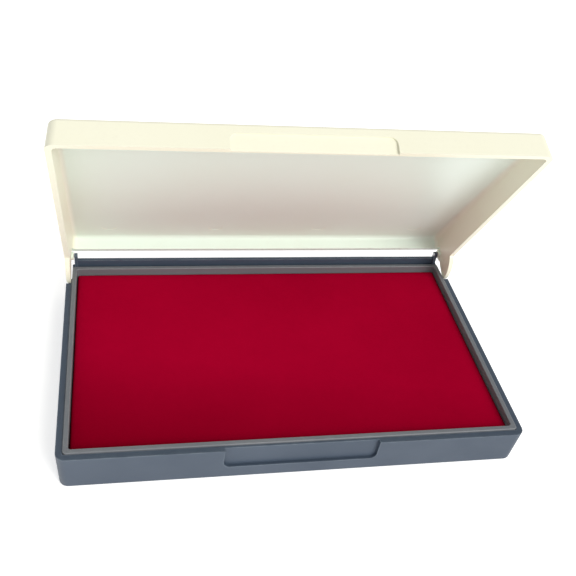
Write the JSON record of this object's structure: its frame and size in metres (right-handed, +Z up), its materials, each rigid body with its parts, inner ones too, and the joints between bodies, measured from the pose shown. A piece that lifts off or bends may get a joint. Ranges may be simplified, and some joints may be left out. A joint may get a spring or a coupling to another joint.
{
  "type": "hinged stamp ink pad",
  "caption": "Flat hinged plastic case with a cloth-covered felt ink pad in its base, for inking rubber stamps; the lid swings open at the back.",
  "frame": {"origin": "middle of the base's underside, on the desk", "axes": "+X along the case's long side, to the right seen from the front; +Y from the front to the hinge; +Z up"},
  "size_m": [0.157, 0.1025, 0.1027],
  "materials": {
    "slate_plastic": "satin moulded",
    "grey_plastic": "satin moulded",
    "board": "raw hardboard",
    "wool_felt": "ink-soaked felt",
    "inked_cloth": "ink-soaked plain weave",
    "cream_plastic": "smooth moulded",
    "pin_steel": "drawn wire"
  },
  "bodies": {
    "base": {"base_shell": "slate_plastic", "pad_tray": "grey_plastic", "backing_board": "board", "felt_reservoir": "wool_felt", "felt_top": "wool_felt", "ink_cloth": "inked_cloth", "hinge_pin_left": "pin_steel", "hinge_pin_right": "pin_steel"},
    "lid": {"lid_shell": "cream_plastic"}
  },
  "joints": [
    {"name": "lid_hinge", "type": "hinge", "parent": "base", "child": "lid", "pos_m": [0, 0.04695, 0.01955], "axis": [-1, 0, 0], "range_deg": [-60, 45]}
  ]
}
